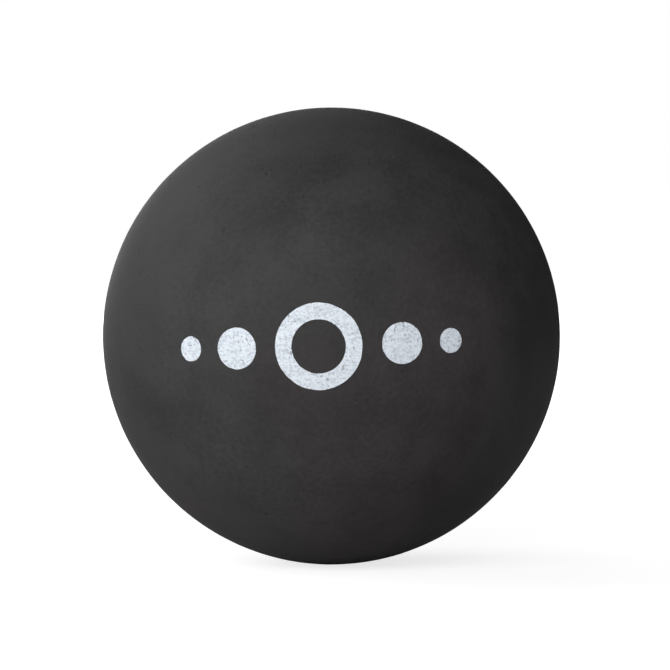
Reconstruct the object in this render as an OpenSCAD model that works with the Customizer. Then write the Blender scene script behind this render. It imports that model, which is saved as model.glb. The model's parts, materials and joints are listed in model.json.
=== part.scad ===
// Paddleball ball: a hollow rubber ball of two moulded half shells, cemented rim to rim
// and ground smooth, with a pin hole that lets the inside breathe and a plain printed mark.
// Millimetres. The origin is the ball's centre, +Z is up and the mark faces -Y.
// The axis through both half shells' poles is Y, so the cemented joint lies in the plane y = 0.

/* [Ball] */
// Outside diameter of the ground ball
ball_d = 57.15; // [45:0.05:70]
// Thickness of the moulded rubber wall
wall_t = 3.8; // [2.5:0.1:7]

/* [Cemented joint] */
// Thickness of the cement film between the two rims
bond_t = 0.3; // [0.1:0.05:0.8]
// Depth of the cement below the ground surface, which leaves a hairline seam
seam_depth = 0.1; // [0.05:0.05:0.4]
// Radius of the bead of cement that is squeezed out along the inside of the joint
bead_r = 1; // [0.6:0.1:2]

/* [Vent] */
// Diameter of the pin hole through the rear pole
vent_d = 0.8; // [0.4:0.1:2]

/* [Printed mark] */
// Thickness of the ink film
ink_t = 0.06; // [0.03:0.01:0.2]
// Outside diameter of the middle ring, measured over the surface
ring_d = 10.5; // [6:0.5:14]
// Width of the ring's stroke
ring_stroke = 2; // [0.8:0.1:2.8]
// Diameter of the dot next to the ring, on each side
inner_dot_d = 5; // [2:0.5:8]
// Diameter of the dot at each end of the row
outer_dot_d = 3; // [1:0.5:6]
// Bare rubber between neighbouring shapes of the row
mark_gap = 2.4; // [1:0.1:4]
// Turn of the row from level, with its right end up
mark_tilt = 2; // [-10:0.5:10]

/* [Hidden] */
$fn = 96;

ball_r = ball_d / 2;
cavity_r = ball_r - wall_t;
// How far a cutting shape reaches past the surface that it cuts
cut_past = 1;
// Arc lengths along the row, from the middle of the ring to the middle of each dot
inner_dot_at = ring_d / 2 + mark_gap + inner_dot_d / 2;
outer_dot_at = inner_dot_at + inner_dot_d / 2 + mark_gap + outer_dot_d / 2;

rubber_colour = "#363535";
cement_colour = "#4b443e";
ink_colour = "#e3e8ef";

// Angle at the ball's centre, in degrees, of an arc length on its surface
function arc_angle(length) = length / ball_r * 180 / PI;

// Turns what is built round +Z to face the front, -Y
module facing_front() {
    rotate([90, 0, 0]) children();
}

// Turns what is built round +Z to face the rear, +Y
module facing_rear() {
    rotate([-90, 0, 0]) children();
}

// Flat band between two circles about the ball's centre
module band(outer_r, inner_r) {
    difference() {
        circle(outer_r);
        circle(inner_r);
    }
}

// Half of the hollow ball round +Z, with a flat rim that stops short of the joint's middle plane
module half_shell() {
    rotate_extrude() intersection() {
        band(ball_r, cavity_r);
        translate([0, bond_t / 2]) square(ball_r);
    }
}

// The half shell that carries the mark
module front_half_shell() {
    color(rubber_colour) facing_front() half_shell();
}

// The half shell with the pin hole through its pole
module rear_half_shell() {
    color(rubber_colour) facing_rear() difference() {
        half_shell();
        translate([0, 0, cavity_r - cut_past])
            cylinder(d = vent_d, h = wall_t + 2 * cut_past);
    }
}

// The cement: a thin film from rim to rim, and a bead along the inside of the joint
module bond_ring() {
    color(cement_colour) facing_front() rotate_extrude() {
        intersection() {
            band(ball_r - seam_depth, cavity_r - bead_r / 2);
            translate([0, -bond_t / 2]) square([ball_r, bond_t]);
        }
        intersection() {
            circle(cavity_r);
            translate([cavity_r, 0]) circle(bead_r);
        }
    }
}

// A round patch of ink film on the surface round +Z, with a round hole in it if hole_d isn't 0.
// Both diameters are measured over the surface.
module ink_patch(outer_d, hole_d = 0) {
    reach = ball_r + ink_t + cut_past;
    outer_angle = arc_angle(outer_d / 2);
    hole_angle = arc_angle(hole_d / 2);
    rotate_extrude() intersection() {
        band(ball_r + ink_t, ball_r);
        polygon([[0, 0], [reach * tan(hole_angle), reach], [reach * tan(outer_angle), reach]]);
    }
}

// Puts a patch at an arc length along the row, from the ring's middle towards the right
module along_row(length) {
    rotate([0, 0, arc_angle(length)]) facing_front() children();
}

// The mark: a ring with two dots on each side, in one row on the front pole
module printed_mark() {
    color(ink_colour) rotate([0, -mark_tilt, 0]) {
        along_row(0) ink_patch(ring_d, ring_d - 2 * ring_stroke);
        for (side = [-1, 1]) {
            along_row(side * inner_dot_at) ink_patch(inner_dot_d);
            along_row(side * outer_dot_at) ink_patch(outer_dot_d);
        }
    }
}

front_half_shell();
rear_half_shell();
bond_ring();
printed_mark();
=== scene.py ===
# %% [markdown]
# # A hollow rubber court ball
#
# A paddleball ball is two moulded half shells of black rubber, cemented rim to rim and ground to
# a matte skin. The front half carries a plain mark in white ink, and the rear half has a pin hole
# that lets the air inside breathe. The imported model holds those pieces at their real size, in
# metres, with the ball's centre at the origin and the mark facing -Y. This lesson loads it as a
# fixed frame and builds the looks around it.

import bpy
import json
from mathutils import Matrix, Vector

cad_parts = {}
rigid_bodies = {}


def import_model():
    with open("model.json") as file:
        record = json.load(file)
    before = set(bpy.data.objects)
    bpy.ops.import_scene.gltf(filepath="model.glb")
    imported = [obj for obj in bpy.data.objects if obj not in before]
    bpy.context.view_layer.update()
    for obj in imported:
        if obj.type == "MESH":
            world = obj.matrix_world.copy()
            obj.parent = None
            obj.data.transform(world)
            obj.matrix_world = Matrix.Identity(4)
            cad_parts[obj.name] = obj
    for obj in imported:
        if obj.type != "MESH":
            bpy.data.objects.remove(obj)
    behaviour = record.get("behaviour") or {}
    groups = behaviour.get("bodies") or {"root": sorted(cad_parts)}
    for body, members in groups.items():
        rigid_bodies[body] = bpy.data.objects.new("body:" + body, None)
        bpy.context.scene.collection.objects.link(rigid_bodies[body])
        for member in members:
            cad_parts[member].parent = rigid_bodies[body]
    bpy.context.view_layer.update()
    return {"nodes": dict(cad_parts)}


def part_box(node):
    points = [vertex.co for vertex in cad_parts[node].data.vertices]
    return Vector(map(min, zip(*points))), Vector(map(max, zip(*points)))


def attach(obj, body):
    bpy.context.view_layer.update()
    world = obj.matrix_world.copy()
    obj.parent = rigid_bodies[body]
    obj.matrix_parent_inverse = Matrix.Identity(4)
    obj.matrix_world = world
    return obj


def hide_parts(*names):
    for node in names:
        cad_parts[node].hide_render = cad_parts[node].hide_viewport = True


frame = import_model()
print("Frame holds", sorted(frame["nodes"]))

# %% [markdown]
# ## Sizes
#
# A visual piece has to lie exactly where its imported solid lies. The sizes could be typed in again,
# but then they would drift apart when the solid changes, so nearly all are measured on the solids:
# the nearest and farthest points of a shell from the centre are its cavity and its skin.

# %% Measure the solids
import math

import bmesh
import bpy
from mathutils import Vector, noise

MM = 0.001


def span(node, measure):
    """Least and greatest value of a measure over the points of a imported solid."""
    values = [measure(vertex.co) for vertex in frame["nodes"][node].data.vertices]
    return min(values), max(values)


def from_centre(point):
    return point.length


def from_axis(point):
    return math.hypot(point.x, point.z)


cavity_r, ball_r = span("front_half_shell", from_centre)
vent_r = span("rear_half_shell", from_axis)[0]
cement_r = span("bond_ring", from_centre)[1]
ink_r = span("printed_mark", from_centre)[1]
rim_y = -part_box("front_half_shell")[1].y
bead_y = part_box("bond_ring")[1].y
wall = ball_r - cavity_r
print(f"Ball radius {ball_r / MM:.3f} mm, wall {wall / MM:.2f} mm, vent radius {vent_r / MM:.2f} mm")

# %% [markdown]
# ## Camera
#
# The photograph looks almost straight at the mark, which sits a little left of and below the middle
# of the ball, so the camera stands a little to the right of the mark and above it. A long lens from
# farther off keeps the ball round, as in the photograph. The lens follows from how large the ball's
# outline is in the picture.

# %% Set the camera
IMAGE_PX = 670
OUTLINE_R_PX = 228.6
OUTLINE_AT_PX = (331.5, 336.0)
CAMERA_DISTANCE = 0.6
CAMERA_AZIMUTH = math.radians(3.1)
CAMERA_ELEVATION = math.radians(2.5)
SENSOR_MM = 36


def direction(azimuth, elevation):
    """Direction from the ball's centre. Azimuth 0 is the front, and 90 degrees the right."""
    level = math.cos(elevation)
    return Vector((math.sin(azimuth) * level, -math.cos(azimuth) * level, math.sin(elevation)))


focal_px = OUTLINE_R_PX / math.tan(math.asin(ball_r / CAMERA_DISTANCE))
metres_per_px = CAMERA_DISTANCE / focal_px
to_camera = direction(CAMERA_AZIMUTH, CAMERA_ELEVATION)
right = Vector((0, 0, 1)).cross(to_camera).normalized()
up = to_camera.cross(right)
aim_px = (IMAGE_PX / 2 - OUTLINE_AT_PX[0], OUTLINE_AT_PX[1] - IMAGE_PX / 2)
aim = (right * aim_px[0] + up * aim_px[1]) * metres_per_px
place = to_camera * CAMERA_DISTANCE
bpy.ops.object.camera_add(location=place, rotation=(aim - place).to_track_quat("-Z", "Y").to_euler())
camera = bpy.context.object
camera.data.sensor_width = SENSOR_MM
camera.data.lens = focal_px / IMAGE_PX * SENSOR_MM
bpy.context.scene.camera = camera
print(f"Lens {camera.data.lens:.0f} mm at {CAMERA_DISTANCE} m")

# %% [markdown]
# ## Selecting
#
# Operators act on whatever is selected, and loading the frame leaves its solids selected. So each
# piece starts from an empty selection, and its points, edges and faces are picked in code by where
# they lie, because there is no mouse to point with.

# %% Helpers for selecting


def select_only(piece):
    bpy.ops.object.select_all(action="DESELECT")
    piece.select_set(True)
    bpy.context.view_layer.objects.active = piece


def start_edit(piece):
    """Opens a piece for editing, with nothing else selected and none of its elements picked."""
    select_only(piece)
    bpy.ops.object.mode_set(mode="EDIT")
    bpy.ops.mesh.select_all(action="DESELECT")


def end_edit():
    bpy.ops.object.mode_set(mode="OBJECT")


def pick(kind, test):
    """Picks the vertices, edges or faces of the piece in edit mode that pass a test."""
    bpy.ops.mesh.select_mode(type=kind)
    shape = bmesh.from_edit_mesh(bpy.context.edit_object.data)
    elements = {"VERT": shape.verts, "EDGE": shape.edges, "FACE": shape.faces}[kind]
    chosen = [test(element) for element in elements]
    for element, wanted in zip(elements, chosen):
        element.select_set(wanted)
    shape.select_flush_mode()
    bmesh.update_edit_mesh(bpy.context.edit_object.data)
    return sum(chosen)


print("Selecting helpers ready")

# %% [markdown]
# ## Modifiers
#
# A modifier could stay live on a piece, but a later cut or bridge needs the real points that it
# makes. So each is applied at once, and the mesh holds its final shape. Displace, which roughens
# the skin and the print's edge, needs a soft noise, and that is a texture of its own.

# %% Helpers for modifiers
CLOUD_MIDDLE = 0.5


def finish_with(piece, kind, **settings):
    """Adds a modifier with these settings and applies it."""
    select_only(piece)
    bpy.ops.object.modifier_add(type=kind)
    modifier = piece.modifiers[-1]
    for name, value in settings.items():
        setattr(modifier, name, value)
    bpy.ops.object.modifier_apply(modifier=modifier.name)


def cloud_texture(name, size):
    """A soft noise for the Displace modifier, with lumps of about that size."""
    texture = bpy.data.textures.new(name, "CLOUDS")
    texture.noise_scale = size
    return texture


print("Modifier helpers ready")

# %% [markdown]
# ## Domes
#
# A UV sphere would crowd its faces at two poles, one of them under the mark. A cube whose squares
# are halved again and again, and cast onto a sphere each time, has even squares all over and a
# clean loop of edges in the joint's plane, where the half that isn't wanted is deleted.

# %% A dome from a cube
OUTER_HALVINGS = 6
INNER_HALVINGS = 4


def dome(name, radius, halvings, side):
    """An open half ball on one side of the joint: -1 is the front, and 1 the rear."""
    bpy.ops.object.select_all(action="DESELECT")
    bpy.ops.mesh.primitive_cube_add(size=2 * radius)
    piece = bpy.context.object
    piece.name = name
    for _ in range(halvings):
        start_edit(piece)
        bpy.ops.mesh.select_all(action="SELECT")
        bpy.ops.mesh.subdivide(number_cuts=1)
        end_edit()
        finish_with(piece, "CAST", cast_type="SPHERE", factor=1, use_radius_as_size=False, size=radius)
    start_edit(piece)
    near_joint = radius / 2 ** (halvings + 2)
    pick("VERT", lambda vertex: vertex.co.y * side < -near_joint)
    bpy.ops.mesh.delete(type="VERT")
    end_edit()
    return piece


print("A dome has", 3 * 4 ** OUTER_HALVINGS, "squares outside")

# %% [markdown]
# ## Pits and pores
#
# Ground rubber is dotted with shallow pores a few tenths of a millimetre wide and a few wider pits,
# where the grinding opened an air bubble. A bump in the material could only fake them, so they are
# real, sunk into random squares of the dome. The pores keep to patches, because the wheel bites
# deeper in some places than in others, and a noise over the ball says where. They keep away from
# the joint, whose rim needs a clean edge.

# %% Choose the squares
PORE_LIP = 0.02 * MM
SKIN_TOLERANCE = PORE_LIP / 2
PATCH_SIZE = 12 * MM
PATCH_SHIFT = Vector((0, 0, 8))
JOINT_CLEAR = 1 * MM


def clear_of_joint(vertex):
    return abs(vertex.co.y) > JOINT_CLEAR


def untouched(face):
    """A square away from the joint that is no part of a pit or a pore yet."""
    whole = all(abs(from_centre(corner.co) - ball_r) < SKIN_TOLERANCE for corner in face.verts)
    return whole and all(clear_of_joint(corner) for corner in face.verts)


def in_patch(face):
    """A square in one of the patches that the grinding left open."""
    return noise.noise(face.calc_center_median() / PATCH_SIZE + PATCH_SHIFT) > 0


print("Pores keep", JOINT_CLEAR / MM, "mm from the joint")

# %% [markdown]
# ### Sinking them
#
# The chosen squares are inset to a faint lip and sunk, and one level of subdivision then rounds
# each square hole. The wider a pore is, the gentler its wall. A pit takes the four squares round a
# corner. A Displace modifier last leaves the skin a little uneven.

# %% Sink pits and pores into a dome
PIT_SHARE = 0.0008
PIT_INSET = 0.3 * MM
PIT_RUN = 0.12 * MM
PIT_DEPTH = 0.08 * MM
# Share of the squares, distance of the pore's edge from its square's edge, run of its wall, and depth
PORES = (
    (0.06, 0.05 * MM, 0.15 * MM, 0.05 * MM),
    (0.05, 0.1 * MM, 0.1 * MM, 0.04 * MM),
    (0.03, 0.15 * MM, 0.06 * MM, 0.025 * MM),
)
WAVE_SIZE = 5 * MM
WAVE_HEIGHT = 0.03 * MM
grinding = cloud_texture("grinding", WAVE_SIZE)


def sink(inset, run, depth, each):
    """Sinks the picked squares, each by itself or joined with its neighbours, behind a faint lip."""
    bpy.ops.mesh.inset(thickness=inset, depth=PORE_LIP, use_individual=each)
    bpy.ops.mesh.inset(thickness=run, depth=-PORE_LIP - depth, use_individual=each)


def pit(piece, seed):
    """Sinks pits and pores into a dome, and leaves its skin a little uneven."""
    start_edit(piece)
    bpy.ops.mesh.select_mode(type="VERT")
    bpy.ops.mesh.select_random(ratio=PIT_SHARE, seed=seed)
    count = pick("VERT", lambda vertex: vertex.select and clear_of_joint(vertex))
    print(f"{piece.name}: {count} pits")
    bpy.ops.mesh.select_more(use_face_step=True)
    bpy.ops.mesh.select_mode(type="FACE")
    sink(PIT_INSET, PIT_RUN, PIT_DEPTH, each=False)
    for number, (share, inset, run, depth) in enumerate(PORES, 1):
        bpy.ops.mesh.select_all(action="DESELECT")
        bpy.ops.mesh.select_random(ratio=share, seed=seed + number)
        count = pick("FACE", lambda face: face.select and untouched(face) and in_patch(face))
        sink(inset, run, depth, each=True)
        print(f"{piece.name}: {count} pores {depth / MM:.3f} mm deep")
    end_edit()
    finish_with(piece, "SUBSURF", levels=1, render_levels=1)
    finish_with(piece, "DISPLACE", texture=grinding, texture_coords="LOCAL",
                strength=WAVE_HEIGHT, mid_level=CLOUD_MIDDLE)


print("Pores of", len(PORES), "depths, and pits", PIT_DEPTH / MM, "mm deep")

# %% [markdown]
# ## Half shells
#
# Each half is moulded with a flat rim, and the rims are buffed and cemented. The outer dome's open
# edge is moved back by half the cement's thickness, extruded inwards as the flat rim, and bridged
# to an inner dome that is turned inside out. A small bevel on the rim's outer edge is what shows
# as the hairline seam.

# %% Build both half shells
SEAM_BEVEL = 0.09 * MM
SEAM_SEGMENTS = 2
RIM_TOLERANCE = SEAM_BEVEL / 2
RIM_BAND = wall / 8
FRONT_SEED = 92
REAR_SEED = 36
SMOOTH_ANGLE = math.radians(50)


def move_open_edge(side):
    """Moves the open edge of the dome in edit mode back from the joint's middle plane."""
    pick("EDGE", lambda edge: edge.is_boundary)
    bpy.ops.transform.translate(value=(0, side * rim_y, 0))


def half_shell(name, side, seed):
    """One moulded half: a pitted dome, a flat rim and a smooth inner dome."""
    shell = dome(name, ball_r, OUTER_HALVINGS, side)
    pit(shell, seed)
    cavity = dome(name + "_cavity", cavity_r, INNER_HALVINGS, side)
    start_edit(cavity)
    bpy.ops.mesh.select_all(action="SELECT")
    bpy.ops.mesh.flip_normals()
    move_open_edge(side)
    end_edit()
    start_edit(shell)
    move_open_edge(side)
    bpy.ops.mesh.extrude_edges_indiv()
    rim_share = (cavity_r + ball_r) / (2 * ball_r)
    bpy.ops.transform.resize(value=(rim_share, 1, rim_share), center_override=(0, side * rim_y, 0))
    end_edit()
    cavity.select_set(True)
    bpy.ops.object.join()
    start_edit(shell)
    pick("EDGE", lambda edge: edge.is_boundary)
    bpy.ops.mesh.bridge_edge_loops()
    bpy.ops.mesh.select_all(action="SELECT")
    bpy.ops.mesh.normals_make_consistent(inside=False)

    def on_rim_edge(vertex):
        in_rim_plane = abs(vertex.co.y - side * rim_y) < RIM_TOLERANCE
        return in_rim_plane and from_axis(vertex.co) > ball_r - RIM_BAND

    pick("EDGE", lambda edge: all(on_rim_edge(end) for end in edge.verts))
    bpy.ops.mesh.bevel(offset=SEAM_BEVEL, segments=SEAM_SEGMENTS, affect="EDGES")
    end_edit()
    bpy.ops.object.shade_smooth_by_angle(angle=SMOOTH_ANGLE)
    print(f"{name}: {len(shell.data.polygons)} faces")
    return shell


front_shell = half_shell("front_shell", side=-1, seed=FRONT_SEED)
rear_shell = half_shell("rear_shell", side=1, seed=REAR_SEED)

# %% [markdown]
# ## Vent
#
# The pin hole in the rear pole lets the ball breathe, so that it doesn't harden or swell. It could
# be painted on as a dark dot, but a real hole keeps its shadow from every side. A drill with a
# flared end is subtracted, and the flare leaves a soft lip like that of pierced rubber. A cut like
# this leaves some points all but on top of each other, and they are merged so that no face between
# them is left without an area.

# %% Pierce the rear shell
VENT_SIDES = 32
DRILL_LENGTH = 3 * wall
QUARTER_TURN = math.radians(90)
VENT_LIP = 0.12 * MM
VENT_WELD = 0.001 * MM

bpy.ops.object.select_all(action="DESELECT")
bpy.ops.mesh.primitive_cylinder_add(
    vertices=VENT_SIDES, radius=vent_r, depth=DRILL_LENGTH,
    location=(0, ball_r, 0), rotation=(QUARTER_TURN, 0, 0))
drill = bpy.context.object
bpy.ops.object.transform_apply(location=True, rotation=True, scale=True)
start_edit(drill)
for cut_y in (ball_r - VENT_LIP, ball_r):
    bpy.ops.mesh.select_all(action="SELECT")
    bpy.ops.mesh.bisect(plane_co=(0, cut_y, 0), plane_no=(0, 1, 0))
pick("VERT", lambda vertex: vertex.co.y > ball_r - VENT_LIP / 2)
flare = (vent_r + VENT_LIP) / vent_r
bpy.ops.transform.resize(value=(flare, 1, flare), center_override=(0, ball_r, 0))
end_edit()
finish_with(rear_shell, "BOOLEAN", object=drill, operation="DIFFERENCE", solver="EXACT")
bpy.data.objects.remove(drill)
start_edit(rear_shell)
bpy.ops.mesh.select_all(action="SELECT")
bpy.ops.mesh.remove_doubles(threshold=VENT_WELD)
end_edit()
print("rear_shell after the vent:", len(rear_shell.data.polygons), "faces")

# %% [markdown]
# ## Cement ring
#
# The film of cement between the rims ends a hair below the skin, and inside it is squeezed out into
# a bead. Its cross-section is drawn once, from a half circle for the bead and two straight sides
# for the film, and spun round the axis. The outer edge is then made a little ragged, as cured
# cement is.

# %% Spin the bond ring
BEAD_POINTS = 32
SPIN_STEPS = 360
CEMENT_RAGGED = 0.03 * MM
RAGGED_SEED = 5

bpy.ops.object.select_all(action="DESELECT")
bpy.ops.mesh.primitive_circle_add(vertices=BEAD_POINTS, radius=bead_y, location=(cavity_r, 0, 0))
cement_ring = bpy.context.object
cement_ring.name = "cement_ring"
bpy.ops.object.transform_apply(location=True, rotation=True, scale=True)
start_edit(cement_ring)
hair = bead_y / BEAD_POINTS
weld = hair / 10
pick("VERT", lambda vertex: vertex.co.x > cavity_r + hair)
bpy.ops.mesh.delete(type="VERT")
pick("VERT", lambda vertex: len(vertex.link_edges) == 1)
bpy.ops.mesh.extrude_vertices_move()
bpy.ops.transform.resize(value=(1, rim_y / bead_y, 1), center_override=(0, 0, 0))
bpy.ops.mesh.extrude_vertices_move(TRANSFORM_OT_translate={"value": (cement_r - cavity_r, 0, 0)})
bpy.ops.mesh.edge_face_add()
bpy.ops.mesh.select_all(action="SELECT")
bpy.ops.mesh.spin(steps=SPIN_STEPS, angle=math.tau, center=(0, 0, 0), axis=(0, 1, 0))
bpy.ops.mesh.select_all(action="SELECT")
bpy.ops.mesh.remove_doubles(threshold=weld)
bpy.ops.mesh.normals_make_consistent(inside=False)
pick("VERT", lambda vertex: from_axis(vertex.co) > cement_r - hair)
bpy.ops.transform.vertex_random(offset=CEMENT_RAGGED, seed=RAGGED_SEED)
end_edit()
bpy.ops.object.shade_smooth_by_angle(angle=SMOOTH_ANGLE)
print("cement_ring:", len(cement_ring.data.polygons), "faces")

# %% [markdown]
# ## Printed mark
#
# The mark is a ring with two dots on each side, in a row that bends with the ball. Its sizes are
# measured over the surface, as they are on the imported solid. They can't be read off the solid's
# box, so they are written out again.

# %% Places along the row
RING_D = 10.5 * MM
RING_STROKE = 2 * MM
INNER_DOT_D = 5 * MM
OUTER_DOT_D = 3 * MM
MARK_GAP = 2.4 * MM
MARK_TILT = math.radians(2)


def flat_radius(diameter):
    """Radius in the tangent plane of a patch whose diameter is measured over the ball."""
    return ball_r * math.tan(diameter / 2 / ball_r)


def along_row(arc):
    """Direction from the ball's centre to an arc length along the tilted row."""
    angle = arc / ball_r
    across = math.sin(angle)
    return Vector((across * math.cos(MARK_TILT), -math.cos(angle), across * math.sin(MARK_TILT)))


print(f"Ring {RING_D / MM:.1f} mm wide, dots {INNER_DOT_D / MM:.1f} and {OUTER_DOT_D / MM:.1f} mm")

# %% [markdown]
# ### The film
#
# The ink is a film a few hundredths of a millimetre thick. A picture on the rubber would do for one
# view, but the film is a real piece, so each patch is a disc of fine rings. It is cast onto a ball
# just above the rubber and laid straight down from there by a Shrinkwrap modifier, so that it
# follows every pore, and Solidify gives it its thickness. A print's edge is never a perfect circle,
# so noise warps it slightly.

# %% One patch of ink
INK_STEP = 0.12 * MM
EDGE_WARP = 0.1 * MM
EDGE_WARP_SIZE = 0.7 * MM
ink_t = ink_r - ball_r
edge_noise = cloud_texture("ragged_print", EDGE_WARP_SIZE)


def ink_patch(name, arc, diameter, hole=0.0):
    """A round patch of ink film at an arc length along the row, with a round hole if it has one."""
    outward = along_row(arc)
    outer = flat_radius(diameter)
    stroke = outer - flat_radius(hole)
    rings = round(stroke / INK_STEP)
    bpy.ops.object.select_all(action="DESELECT")
    bpy.ops.mesh.primitive_circle_add(
        vertices=round(math.tau * outer / INK_STEP), radius=outer, fill_type="NGON",
        location=outward * ball_r, rotation=outward.to_track_quat("Z", "Y").to_euler())
    patch = bpy.context.object
    patch.name = name
    bpy.ops.object.transform_apply(location=True, rotation=True, scale=True)
    start_edit(patch)
    bpy.ops.mesh.select_all(action="SELECT")
    for _ in range(rings if hole else rings - 1):
        bpy.ops.mesh.inset(thickness=stroke / rings)
    if hole:
        bpy.ops.mesh.delete(type="FACE")
    end_edit()
    for axis in "XZ":
        finish_with(patch, "DISPLACE", texture=edge_noise, texture_coords="LOCAL",
                    direction=axis, strength=EDGE_WARP, mid_level=CLOUD_MIDDLE)
    finish_with(patch, "CAST", cast_type="SPHERE", factor=1, use_radius_as_size=False, size=ink_r)
    finish_with(patch, "SHRINKWRAP", target=front_shell, wrap_method="PROJECT",
                use_positive_direction=False, use_negative_direction=True)
    finish_with(patch, "SOLIDIFY", thickness=ink_t, offset=1)
    bpy.ops.object.shade_smooth_by_angle(angle=SMOOTH_ANGLE)
    return patch


print(f"Ink film {ink_t / MM:.2f} mm thick")

# %% [markdown]
# ### The row
#
# The five patches are one print, so they are joined into one piece: the ring in the middle, and a
# larger and a smaller dot on each side of it.

# %% Print the row
patches = [ink_patch("printed_mark_film", 0, RING_D, RING_D - 2 * RING_STROKE)]
inner_arc = RING_D / 2 + MARK_GAP + INNER_DOT_D / 2
outer_arc = inner_arc + INNER_DOT_D / 2 + MARK_GAP + OUTER_DOT_D / 2
for arc, diameter in ((inner_arc, INNER_DOT_D), (outer_arc, OUTER_DOT_D)):
    patches += [ink_patch("dot", side * arc, diameter) for side in (-1, 1)]
ink_film = patches[0]
select_only(ink_film)
for patch in patches:
    patch.select_set(True)
bpy.ops.object.join()
print("printed_mark_film:", len(ink_film.data.polygons), "faces")

# %% [markdown]
# ## Shader maths
#
# A finish is a tree of nodes. Wiring each Math node by hand hides the idea behind it, so a small
# class wraps a socket and lets Python's own operators add the Math nodes.

# %% A socket that does maths


class Wire:
    """An output socket. Arithmetic on it adds Math nodes to its tree."""

    def __init__(self, tree, socket):
        self.tree = tree
        self.socket = socket

    def math(self, operation, first, second):
        sockets = {"Value": first, "Value_001": second}
        return self.tree.add("ShaderNodeMath", {"operation": operation}, sockets)

    def __add__(self, other):
        return self.math("ADD", self, other)

    def __radd__(self, other):
        return self.math("ADD", other, self)

    def __sub__(self, other):
        return self.math("SUBTRACT", self, other)

    def __rsub__(self, other):
        return self.math("SUBTRACT", other, self)

    def __mul__(self, other):
        return self.math("MULTIPLY", self, other)

    def __rmul__(self, other):
        return self.math("MULTIPLY", other, self)


print("Wires add, subtract and multiply")

# %% [markdown]
# ## Node trees
#
# Every node comes from one method, which takes the node's type, its settings and what goes into
# its sockets. The other methods are short names for the nodes that the finishes of this ball need
# again and again, such as ramps, colour mixes, noises and bumps.

# %% A tree that adds nodes


class Tree:
    """The nodes of one material or of the world."""

    def __init__(self, owner):
        owner.use_nodes = True
        self.nodes = owner.node_tree.nodes
        self.links = owner.node_tree.links
        self.nodes.clear()

    def add(self, kind, settings=None, sockets=None, output=0):
        """Adds a node, sets it, fills its sockets with values or wires, and gives one output back."""
        node = self.nodes.new(kind)
        for name, value in (settings or {}).items():
            setattr(node, name, value)
        by_name = {socket.identifier: socket for socket in node.inputs}
        for name, value in (sockets or {}).items():
            if isinstance(value, Wire):
                self.links.new(value.socket, by_name[name])
            else:
                by_name[name].default_value = value
        return Wire(self, node.outputs[output]) if node.outputs else node

    def ramp(self, value, low, high):
        """0 where a value is under low, 1 where it is over high, and smooth between."""
        limits = {"Value": value, "From Min": low, "From Max": high}
        return self.add("ShaderNodeMapRange", {"interpolation_type": "SMOOTHSTEP"}, limits)

    def mix(self, share, first, second, blend="MIX"):
        """A colour between two others or, with MULTIPLY, between the first and their product."""
        sockets = {"Factor_Float": share, "A_Color": first, "B_Color": second}
        return self.add("ShaderNodeMix", {"data_type": "RGBA", "blend_type": blend}, sockets, output=2)

    def place(self):
        """Places on the piece, in metres from its object's origin."""
        return self.add("ShaderNodeTexCoord", output="Object")

    def vector(self, operation, where, other):
        """Places moved by another vector with ADD, or drawn out by its shares with MULTIPLY."""
        sockets = {"Vector": where, "Vector_001": other}
        return self.add("ShaderNodeVectorMath", {"operation": operation}, sockets)

    def length(self, where):
        """Distance of a place from the origin."""
        return self.add("ShaderNodeVectorMath", {"operation": "LENGTH"}, {"Vector": where}, output="Value")

    def noise(self, where, size, detail=2.0):
        """Soft noise from 0 to 1, with lumps of about that size."""
        return self.add("ShaderNodeTexNoise", None, {"Vector": where, "Scale": 1 / size, "Detail": detail})

    def bump(self, height, strength, distance):
        """A normal from a height between 0 and 1 that stands for that distance."""
        sockets = {"Height": height, "Strength": strength, "Distance": distance}
        return self.add("ShaderNodeBump", None, sockets)

    def surface(self, shader, kind="ShaderNodeOutputMaterial"):
        self.add(kind, None, {"Surface": shader})


print("Trees add nodes by name")

# %% [markdown]
# ## Starting a finish
#
# A finish starts as a new material with an empty tree. Many of its values lie between two limits,
# with a noise or a mask as the share, and one short formula serves for all of them.

# %% Helpers for finishes


def between(low, high, share):
    """A value some share of the way from low to high. Any of the three may be a wire."""
    return low + (high - low) * share


def new_finish(name):
    material = bpy.data.materials.new(name)
    return material, Tree(material)


print("Finish helpers ready")

# %% [markdown]
# ## Black rubber
#
# Ground rubber is a very dark grey, quite rough, and cloudy: wax and talc leave clouds a few
# millimetres wide that are a shade lighter, and the grinding leaves a speckle and a fine grain. Two
# broader noises follow. One paints light and shade into the colour: the rubber is paler where it is
# high and darker where it is low. Where the other is high, the rubber is browned and a little warmer.
# Their shifts set where on the ball those areas lie. The pores get painted shade, a little darker
# than the skin, and the distance from the ball's centre tells where they are.

# %% Rubber finish
RUBBER_DARK = (0.0244, 0.0239, 0.024, 1)
RUBBER_PALE = (0.0372, 0.037, 0.037, 1)
# Factors on that colour
# Painted light: this factor makes the rubber paler where the broad noise is high
LIT_PAINT_FACTOR = (1.36, 1.36, 1.36, 1)
BROWNED = (1.085, 0.97, 1.013, 1)
# Painted shade: this factor darkens the rubber in the pores
PAINTED_PORE_SHADE = (0.94, 0.93, 0.93, 1)
CLOUD_SIZE = 6 * MM
CLOUD_DETAIL = 4
SPECKLE_SIZE = 0.6 * MM
SPECKLE_DETAIL = 3
SPECKLE_SHARE = 0.42
GRAIN_SIZE = 0.2 * MM
GRAIN_SHARE = 0.6
GRAIN_HEIGHT = 0.03 * MM
GRAIN_STRENGTH = 0.35
# Size and shift of the broad noise that paints light and shade
PAINTED_LIGHT_SIZE = 24 * MM
PAINTED_LIGHT_SHIFT = (0, 120 * MM, 120 * MM)
BROWNING_SIZE = 36 * MM
BROWNING_SHIFT = (18 * MM, 216 * MM, 36 * MM)
BROAD_DETAIL = 1
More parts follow.
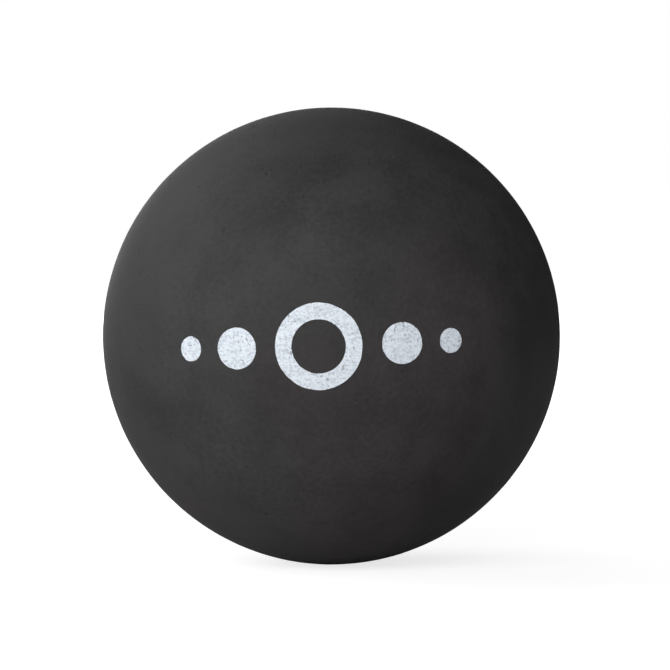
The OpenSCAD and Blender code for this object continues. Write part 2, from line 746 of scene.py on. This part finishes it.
# Values of a noise at which its effect starts and is full
TONE_LIMITS = (0.32, 0.68)
PAINTED_LIGHT_LIMITS = (0.37, 0.7)
BROWNING_LIMITS = (0.33, 0.67)
PORE_FLOOR = ball_r - 0.06 * MM
PORE_EDGE = ball_r - 0.012 * MM
DARK_ROUGHNESS = 0.62
PALE_ROUGHNESS = 0.7
RUBBER_SPECULAR = 0.25

rubber, tree = new_finish("ground_black_rubber")
where = tree.place()
clouds = tree.noise(where, CLOUD_SIZE, CLOUD_DETAIL)
speckle = tree.noise(where, SPECKLE_SIZE, SPECKLE_DETAIL)
grain = tree.noise(where, GRAIN_SIZE)
# A broad noise that places painted light and shade on the rubber
painted_light_noise = tree.noise(tree.vector("ADD", where, PAINTED_LIGHT_SHIFT), PAINTED_LIGHT_SIZE, BROAD_DETAIL)
browning = tree.noise(tree.vector("ADD", where, BROWNING_SHIFT), BROWNING_SIZE, BROAD_DETAIL)
tone = tree.ramp(between(clouds, speckle, SPECKLE_SHARE), *TONE_LIMITS)
skin = tree.mix(tone, RUBBER_DARK, RUBBER_PALE)
# Painted light: the rubber is paler where that broad noise is high, painted shade where it is low
painted_light_skin = tree.mix(tree.ramp(painted_light_noise, *PAINTED_LIGHT_LIMITS), skin, LIT_PAINT_FACTOR, blend="MULTIPLY")
painted_light_browned = tree.mix(tree.ramp(browning, *BROWNING_LIMITS), painted_light_skin, BROWNED, blend="MULTIPLY")
# Where the pores lie, which get painted shade
sunk = 1 - tree.ramp(tree.length(where), PORE_FLOOR, PORE_EDGE)
tree.surface(tree.add("ShaderNodeBsdfPrincipled", None, {
    "Base Color": tree.mix(sunk, painted_light_browned, PAINTED_PORE_SHADE, blend="MULTIPLY"),
    "Roughness": between(DARK_ROUGHNESS, PALE_ROUGHNESS, tone),
    "Specular IOR Level": RUBBER_SPECULAR,
    "Normal": tree.bump(between(speckle, grain, GRAIN_SHARE), GRAIN_STRENGTH, GRAIN_HEIGHT),
}))
print("Rubber finish has", len(tree.nodes), "nodes")

# %% [markdown]
# ## Cured cement
#
# Cured cement in the joint is a shade browner than the rubber and a little smoother, with lumps
# along the line. One noise drives its colour, its roughness and its relief, so that the three agree
# on where a lump is.

# %% Cement finish
CEMENT_DARK = (0.022, 0.019, 0.016, 1)
CEMENT_PALE = (0.05, 0.044, 0.038, 1)
LUMP_SIZE = 0.8 * MM
LUMP_DETAIL = 3
LUMP_HEIGHT = 0.05 * MM
LUMP_STRENGTH = 0.4
LUMP_LIMITS = (0.35, 0.65)
HOLLOW_ROUGHNESS = 0.45
LUMP_ROUGHNESS = 0.65

cement, tree = new_finish("cured_cement")
lumps = tree.noise(tree.place(), LUMP_SIZE, LUMP_DETAIL)
tree.surface(tree.add("ShaderNodeBsdfPrincipled", None, {
    "Base Color": tree.mix(tree.ramp(lumps, *LUMP_LIMITS), CEMENT_DARK, CEMENT_PALE),
    "Roughness": between(HOLLOW_ROUGHNESS, LUMP_ROUGHNESS, lumps),
    "Normal": tree.bump(lumps, LUMP_STRENGTH, LUMP_HEIGHT),
}))
print("Cement finish has", len(tree.nodes), "nodes")

# %% [markdown]
# ## White ink
#
# The ink is a cool white that doesn't cover the black quite evenly. It has faint grey streaks along
# the way the pad was wiped, a fine mottle, and small grey specks where a grain of dust kept it thin.
# It is thin in the pores too, where the film dips towards the ball's centre. A picture would blur
# up close, so noises make all of this.

# %% Ink finish
INK_FULL = (0.8, 0.86, 0.93, 1)
INK_THIN = (0.58, 0.63, 0.7, 1)
INK_SPECK = (0.36, 0.385, 0.42, 1)
MOTTLE_SIZE = 0.3 * MM
MOTTLE_DETAIL = 3
MOTTLE_SHARE = 0.65
STREAK_SIZE = 0.5 * MM
STREAK_STRETCH = (0.2, 1, 1)
COVER_LIMITS = (0.36, 0.58)
SPECK_SIZE = 0.34 * MM
SPECK_DETAIL = 1
SPECK_LIMITS = (0.63, 0.74)
RELIEF_HEIGHT = 0.02 * MM
RELIEF_STRENGTH = 0.3
THIN_ROUGHNESS = 0.62
FULL_ROUGHNESS = 0.52
INK_SPECULAR = 0.3
DIP_FLOOR = ink_r - 0.07 * MM
DIP_EDGE = ink_r - 0.02 * MM

ink, tree = new_finish("white_ink")
where = tree.place()
mottle = tree.noise(where, MOTTLE_SIZE, MOTTLE_DETAIL)
streaks = tree.noise(tree.vector("MULTIPLY", where, STREAK_STRETCH), STREAK_SIZE)
cover = tree.ramp(between(streaks, mottle, MOTTLE_SHARE), *COVER_LIMITS)
dust = tree.ramp(tree.noise(where, SPECK_SIZE, SPECK_DETAIL), *SPECK_LIMITS)
level = tree.ramp(tree.length(where), DIP_FLOOR, DIP_EDGE)
thick = level * (1 - dust)
tree.surface(tree.add("ShaderNodeBsdfPrincipled", None, {
    "Base Color": tree.mix(thick, INK_SPECK, tree.mix(cover, INK_THIN, INK_FULL)),
    "Roughness": between(THIN_ROUGHNESS, FULL_ROUGHNESS, cover),
    "Specular IOR Level": INK_SPECULAR,
    "Normal": tree.bump(cover, RELIEF_STRENGTH, RELIEF_HEIGHT),
}))
print("Ink finish has", len(tree.nodes), "nodes")

# %% [markdown]
# ## Dress the frame
#
# Each modelled piece takes its finish, rides on the ball's one body, and stands for the imported
# solid that it replaces.

# %% Assign finishes and bodies
DRESS = (
    (front_shell, rubber, "front_half_shell", "black_rubber"),
    (rear_shell, rubber, "rear_half_shell", "black_rubber"),
    (cement_ring, cement, "bond_ring", "rubber_cement"),
    (ink_film, ink, "printed_mark", "white_ink"),
)
for piece, finish, node, slot in DRESS:
    piece.data.materials.clear()
    piece.data.materials.append(finish)
    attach(piece, "root")
    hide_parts(node)
    print(piece.name, "stands for", node)

# %% [markdown]
# ## Floor
#
# The photograph has a plain white ground. The floor and the world are white to the camera, and to
# any mirror or clear glass, but they don't light the ball more for it: the blurred gloss of rubber
# doesn't see that white. Near the ball the floor glows a little less than white and the lamps make
# up the rest, so the ball keeps its shadow there.

# %% White floor
FLOOR_SIZE = 8
FLOOR_GREY = (0.6, 0.6, 0.6, 1)
NEAR_GLOW = 0.76
GLOW_GROWS_FROM = 0.04
GLOW_FULL_FROM = 0.3
WHITE = (1, 1, 1, 1)


def seen_white(tree):
    """1 for a ray that shows the background itself: from the camera, a mirror or clear glass."""
    camera_ray = tree.add("ShaderNodeLightPath", output="Is Camera Ray")
    clear_ray = tree.add("ShaderNodeLightPath", output="Is Transmission Ray")
    gloss_ray = tree.add("ShaderNodeLightPath", output="Is Glossy Ray")
    sharp_ray = tree.add("ShaderNodeLightPath", output="Is Singular Ray")
    return camera_ray + clear_ray + gloss_ray * sharp_ray


bpy.ops.object.select_all(action="DESELECT")
bpy.ops.mesh.primitive_plane_add(size=FLOOR_SIZE, location=(0, 0, -ball_r))
floor = bpy.context.object
floor.name = "floor"
floor_white, tree = new_finish("floor_white")
far = tree.ramp(tree.length(tree.place()), GLOW_GROWS_FROM, GLOW_FULL_FROM)
glow = between(NEAR_GLOW, 1, far) * seen_white(tree)
glowing = tree.add("ShaderNodeEmission", None, {"Color": WHITE, "Strength": glow})
matte = tree.add("ShaderNodeBsdfDiffuse", None, {"Color": FLOOR_GREY})
tree.surface(tree.add("ShaderNodeAddShader", None, {"Shader": matte, "Shader_001": glowing}))
floor.data.materials.append(floor_white)
print("Floor is", FLOOR_SIZE, "m wide")

# %% [markdown]
# ## World
#
# The world is what lies past the edge of the floor. The camera sees the same white there, and all
# that reaches the ball from it is the faint, even light of a dim room.

# %% White world, dim room
ROOM = (0.03, 0.03, 0.03, 1)

world = bpy.data.worlds.new("studio")
bpy.context.scene.world = world
tree = Tree(world)
room = tree.add("ShaderNodeBackground", None, {"Color": ROOM})
ground = tree.add("ShaderNodeBackground", None, {"Color": WHITE})
shown = tree.add("ShaderNodeMixShader", None, {
    "Fac": seen_white(tree), "Shader": room, "Shader_001": ground})
tree.surface(shown, "ShaderNodeOutputWorld")
print("World is white to the camera")

# %% [markdown]
# ## Lamps
#
# The photograph's light is soft. The strongest comes from a wide, low box left of the camera, a
# dimmer tall one stands on the left, one behind on the left gives the pale rim, and one high on the
# right keeps the right side from going black. A low, flat one at the back is for views from behind:
# from the front it only adds a trace to the rim. Each is set by how bright its face is, because that
# doesn't change with its size.

# %% Soft boxes
LAMP_DISTANCE = 0.8
# Name, azimuth and elevation in degrees, width and height in metres, and brightness of its face
LAMPS = (
    ("key", -18, 16, 0.9, 0.5, 4.1),
    ("left", -104, 22, 0.6, 0.72, 2.1),
    ("rim", -147, 43, 0.8, 0.8, 0.66),
    ("right", 45, 37, 0.6, 0.6, 0.65),
    ("back", -166, 6, 0.6, 0.2, 2.6),
)


def soft_box(name, azimuth, elevation, width, height, brightness):
    """A rectangular lamp that faces the ball."""
    outward = direction(math.radians(azimuth), math.radians(elevation))
    bpy.ops.object.light_add(type="AREA", location=outward * LAMP_DISTANCE,
                             rotation=outward.to_track_quat("Z", "Y").to_euler())
    lamp = bpy.context.object
    lamp.name = name
    lamp.data.shape = "RECTANGLE"
    lamp.data.size = width
    lamp.data.size_y = height
    lamp.data.energy = brightness * math.pi * width * height


for lamp in LAMPS:
    soft_box(*lamp)
print(len(LAMPS), "soft boxes")

# %% [markdown]
# ## View transform
#
# The view transform is plain, so that colours render as written.

# %% Plain view transform
import json

bpy.context.scene.view_settings.view_transform = "Standard"
